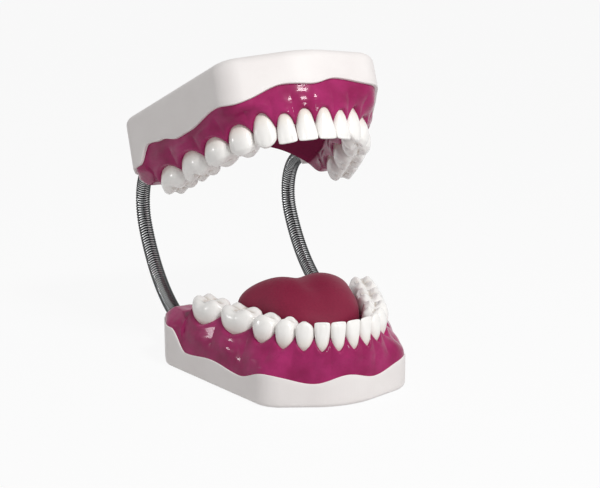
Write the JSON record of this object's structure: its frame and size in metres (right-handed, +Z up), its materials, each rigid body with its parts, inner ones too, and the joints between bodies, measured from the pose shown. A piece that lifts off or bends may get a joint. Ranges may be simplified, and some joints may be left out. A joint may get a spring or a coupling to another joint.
{
  "type": "typodont model",
  "caption": "Oversized demonstration jaws: teeth seated in glossy gums on hollow bases, with a tongue, joined behind by bendable gooseneck arms that open and shut the mouth.",
  "frame": {"origin": "on the table, in the middle of the underside of the lower base", "axes": "+Z up, the front teeth face -Y, +X to the right of a viewer who faces the front teeth"},
  "size_m": [0.1856, 0.263, 0.2374],
  "materials": {
    "base": "matt cast resin, off-white",
    "gum": "glossy pigmented acrylic",
    "tongue": "matt flocked soft vinyl",
    "tooth": "glossy hard resin, enamel white",
    "arm": "dark bright plating over wound steel",
    "fastener": "zinc-plated steel"
  },
  "bodies": {
    "lower_jaw": {"lower_base": "base", "lower_plate": "base", "lower_plate_screws": "fastener", "lower_gum": "gum", "tongue": "tongue", "lower_left_central": "tooth", "lower_left_lateral": "tooth", "lower_left_canine": "tooth", "lower_left_premolar_1": "tooth", "lower_left_premolar_2": "tooth", "lower_left_molar_1": "tooth", "lower_left_molar_2": "tooth", "lower_right_central": "tooth", "lower_right_lateral": "tooth", "lower_right_canine": "tooth", "lower_right_premolar_1": "tooth", "lower_right_premolar_2": "tooth", "lower_right_molar_1": "tooth", "lower_right_molar_2": "tooth", "lower_left_socket": "arm", "lower_right_socket": "arm", "lower_arm_nuts": "fastener", "left_arm_1": "arm", "right_arm_1": "arm"},
    "arm_link_2": {"left_arm_2": "arm", "right_arm_2": "arm"},
    "arm_link_3": {"left_arm_3": "arm", "right_arm_3": "arm"},
    "upper_jaw": {"upper_base": "base", "upper_plate": "base", "upper_plate_screws": "fastener", "upper_gum": "gum", "upper_left_central": "tooth", "upper_left_lateral": "tooth", "upper_left_canine": "tooth", "upper_left_premolar_1": "tooth", "upper_left_premolar_2": "tooth", "upper_left_molar_1": "tooth", "upper_left_molar_2": "tooth", "upper_right_central": "tooth", "upper_right_lateral": "tooth", "upper_right_canine": "tooth", "upper_right_premolar_1": "tooth", "upper_right_premolar_2": "tooth", "upper_right_molar_1": "tooth", "upper_right_molar_2": "tooth", "upper_left_socket": "arm", "upper_right_socket": "arm", "upper_arm_nuts": "fastener", "left_arm_4": "arm", "right_arm_4": "arm"}
  },
  "joints": [
    {"name": "arm_bend_low", "type": "hinge", "parent": "lower_jaw", "child": "arm_link_2", "pos_m": [0, 0.10437, 0.02668], "axis": [1, 0, 0], "range_deg": [-1.6, 8.36]},
    {"name": "jaw_close", "type": "hinge", "parent": "arm_link_2", "child": "arm_link_3", "pos_m": [0, 0.16935, 0.07071], "axis": [1, 0, 0], "range_deg": [-9, 47.27]},
    {"name": "arm_bend_high", "type": "hinge", "parent": "arm_link_3", "child": "upper_jaw", "pos_m": [0, 0.14693, 0.13748], "axis": [1, 0, 0], "range_deg": [-30.13, 5.75]}
  ],
  "couplings": [
    {"joint": "arm_bend_low", "follows": "jaw_close", "ratio": 0.17662},
    {"joint": "arm_bend_high", "follows": "jaw_close", "ratio": -0.63717}
  ]
}
